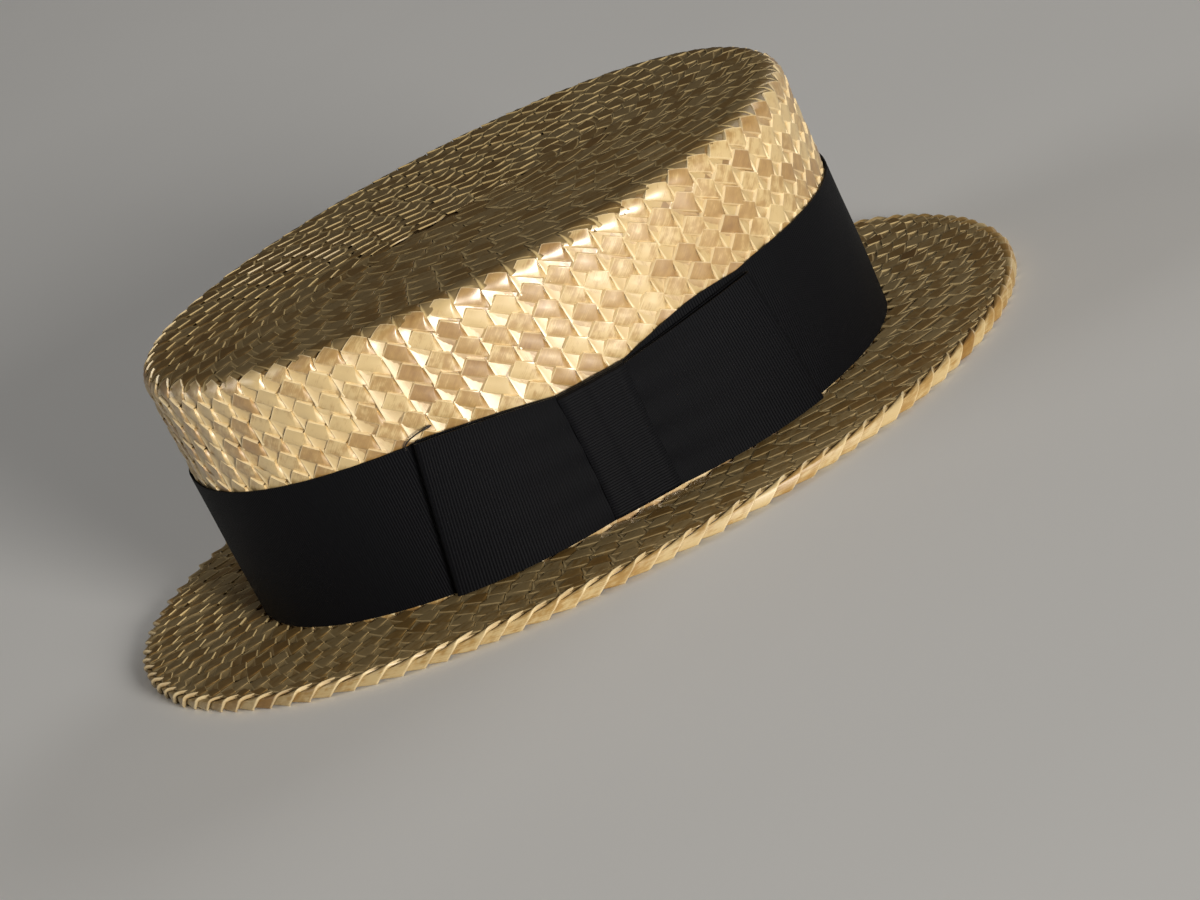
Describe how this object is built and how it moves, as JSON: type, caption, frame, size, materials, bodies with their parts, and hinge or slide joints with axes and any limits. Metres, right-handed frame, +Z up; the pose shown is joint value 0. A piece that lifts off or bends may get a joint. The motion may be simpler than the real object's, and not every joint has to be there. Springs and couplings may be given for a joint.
{
  "type": "straw boater hat",
  "caption": "Stiff straw hat with a flat-topped upright oval crown, a flat brim with a toothed edge, and a black ribbon band with a flat bow.",
  "frame": {"origin": "middle of the hat's box on the flat underside of the brim edge, which is what the hat rests on", "axes": "+Z up to the flat tip; +Y along the longest extent, towards the wearer's back; +X towards the wearer's left, where the bow lies"},
  "size_m": [0.2499, 0.2822, 0.0845],
  "materials": {
    "straw": "natural straw plait, sewn in rounds and varnished",
    "ribbon": "black grosgrain ribbon, fine crosswise ribs"
  },
  "bodies": {
    "root": {"crown": "straw", "brim": "straw", "brim_edge": "straw", "hat_band": "ribbon", "bow_loop_front": "ribbon", "bow_loop_back": "ribbon", "bow_knot": "ribbon"}
  },
  "joints": []
}
